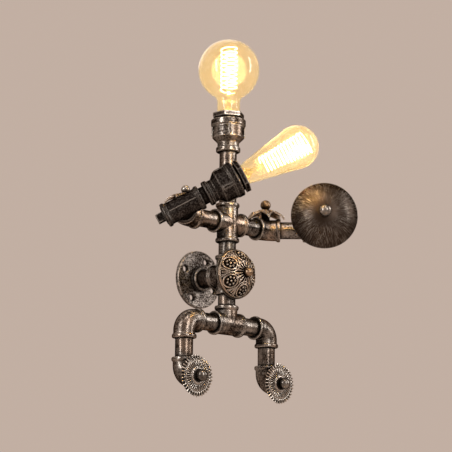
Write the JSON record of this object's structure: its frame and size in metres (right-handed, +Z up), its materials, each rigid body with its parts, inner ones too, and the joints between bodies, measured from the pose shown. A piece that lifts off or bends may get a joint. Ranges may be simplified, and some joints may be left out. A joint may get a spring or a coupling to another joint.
{
  "type": "robot wall lamp",
  "caption": "Wall lamp in the form of a standing robot of threaded iron pipe fittings, with a globe lamp for a head, a lamp arm that tilts and an arm that holds a round shield.",
  "frame": {"origin": "centre of the wall flange, on the wall plane", "axes": "+X right for someone who faces the wall, +Y into the wall, +Z up"},
  "size_m": [0.3145, 0.2574, 0.5611],
  "materials": {
    "cast_iron": "aged dark iron with rubbed bright edges",
    "iron_pipe": "aged iron pipe, brushed and stained",
    "flange_iron": "mottled grey iron",
    "black_iron": "blackened iron with worn edges",
    "antique_bronze": "antique bronze with dark recesses",
    "rosette_metal": "antique silver",
    "ball_nickel": "antique nickel, polished",
    "shield_iron": "dark iron, brushed from the centre",
    "lampholder_ceramic": "glazed ceramic",
    "contact_brass": "bright brass",
    "bulb_insulator": "black glass insulator",
    "amber_glass": "clear amber glass",
    "glowing_filament": "lit filament",
    "flex_sheath": "matt black",
    "bush_rubber": "matt black"
  },
  "bodies": {
    "frame": {"wall_flange": "flange_iron", "cable_bush": "bush_rubber", "wall_nipple": "iron_pipe", "belly_tee": "cast_iron", "torso_pipe": "iron_pipe", "waist_pipe": "iron_pipe", "shoulder_cross": "cast_iron", "neck_pipe": "iron_pipe", "hip_tee": "cast_iron", "hip_nipples": "iron_pipe", "shoulder_nipples": "iron_pipe", "head_cup": "cast_iron", "head_hex": "cast_iron", "head_holder": "lampholder_ceramic", "head_contacts": "contact_brass", "house_flex": "flex_sheath", "medallion": "antique_bronze", "medallion_bolt": "ball_nickel"},
    "left_leg": {"left_hip_elbow": "cast_iron", "left_leg_pipe": "iron_pipe", "left_foot_elbow": "cast_iron", "left_foot_plug": "cast_iron", "left_foot_ball": "ball_nickel"},
    "left_foot_disc": {"left_rosette": "rosette_metal"},
    "right_leg": {"right_hip_elbow": "cast_iron", "right_leg_pipe": "iron_pipe", "right_foot_elbow": "cast_iron", "right_foot_plug": "cast_iron", "right_foot_ball": "ball_nickel"},
    "right_foot_disc": {"right_rosette": "rosette_metal"},
    "left_arm": {"left_arm_elbow": "cast_iron", "left_petal_cap": "antique_bronze", "left_petal_bolt": "ball_nickel", "left_arm_nipple": "black_iron", "left_arm_flex": "flex_sheath"},
    "lamp_arm": {"lamp_tee": "black_iron", "lamp_plug": "black_iron", "lamp_nipple": "black_iron", "lamp_cup": "black_iron", "lamp_hex": "black_iron", "lamp_holder": "lampholder_ceramic", "lamp_contacts": "contact_brass", "lamp_flex": "flex_sheath"},
    "globe_travel": {"globe_tip": "bulb_insulator"},
    "globe_bulb": {"globe_glass": "amber_glass", "globe_cap": "contact_brass", "globe_filament": "glowing_filament"},
    "pear_travel": {"pear_tip": "bulb_insulator"},
    "pear_bulb": {"pear_glass": "amber_glass", "pear_cap": "contact_brass", "pear_filament": "glowing_filament"},
    "right_arm": {"right_arm_elbow": "cast_iron", "right_petal_cap": "antique_bronze", "right_petal_bolt": "ball_nickel", "forearm_pipe": "iron_pipe"},
    "shield_arm": {"wrist_elbow": "cast_iron", "shield_pipe": "iron_pipe", "shield_end_cap": "cast_iron", "shield_bolt": "ball_nickel"},
    "shield": {"shield_dome": "shield_iron"}
  },
  "joints": [
    {"name": "left_hip_swing", "type": "hinge", "parent": "frame", "child": "left_leg", "pos_m": [-0.0851, -0.067, -0.0745], "axis": [-1, 0, 0], "range_deg": [-15, 60]},
    {"name": "right_hip_swing", "type": "hinge", "parent": "frame", "child": "right_leg", "pos_m": [0.0851, -0.067, -0.0745], "axis": [-1, 0, 0], "range_deg": [-15, 60]},
    {"name": "left_rosette_spin", "type": "hinge", "parent": "left_leg", "child": "left_foot_disc", "pos_m": [-0.0851, -0.0958, -0.1596], "axis": [0, -1, 0], "continuous": true},
    {"name": "right_rosette_spin", "type": "hinge", "parent": "right_leg", "child": "right_foot_disc", "pos_m": [0.0851, -0.0958, -0.1596], "axis": [0, -1, 0], "continuous": true},
    {"name": "left_shoulder_swing", "type": "hinge", "parent": "frame", "child": "left_arm", "pos_m": [-0.087, -0.067, 0.0804], "axis": [-1, 0, 0], "range_deg": [-8, 20]},
    {"name": "lamp_tilt", "type": "hinge", "parent": "left_arm", "child": "lamp_arm", "pos_m": [-0.12943, -0.10943, 0.0804], "axis": [-0.7071, -0.7071, 0], "range_deg": [-8, 35]},
    {"name": "right_shoulder_swing", "type": "hinge", "parent": "frame", "child": "right_arm", "pos_m": [0.082, -0.067, 0.0804], "axis": [-1, 0, 0], "range_deg": [-20, 3]},
    {"name": "wrist_turn", "type": "hinge", "parent": "right_arm", "child": "shield_arm", "pos_m": [0.14324, -0.12823, 0.0804], "axis": [-0.7071, 0.7071, 0], "range_deg": [-25, 0]},
    {"name": "shield_spin", "type": "hinge", "parent": "shield_arm", "child": "shield", "pos_m": [0.05881, -0.21266, 0.0804], "axis": [-0.7071, -0.7071, 0], "continuous": true},
    {"name": "globe_rise", "type": "slide", "parent": "frame", "child": "globe_travel", "axis": [0, 0, 1], "range_m": [0, 0.0182]},
    {"name": "globe_unscrew", "type": "hinge", "parent": "globe_travel", "child": "globe_bulb", "pos_m": [0, -0.067, 0.191], "axis": [0, 0, 1], "range_deg": [0, 1800]},
    {"name": "pear_rise", "type": "slide", "parent": "lamp_arm", "child": "pear_travel", "axis": [0.622, -0.622, 0.4756], "range_m": [0, 0.0182]},
    {"name": "pear_unscrew", "type": "hinge", "parent": "pear_travel", "child": "pear_bulb", "pos_m": [-0.12943, -0.10943, 0.0804], "axis": [0.622, -0.622, 0.4756], "range_deg": [0, 1800]}
  ],
  "couplings": [
    {"joint": "globe_rise", "follows": "globe_unscrew", "m_per_rad": 0.00057757},
    {"joint": "pear_rise", "follows": "pear_unscrew", "m_per_rad": 0.00057757}
  ]
}
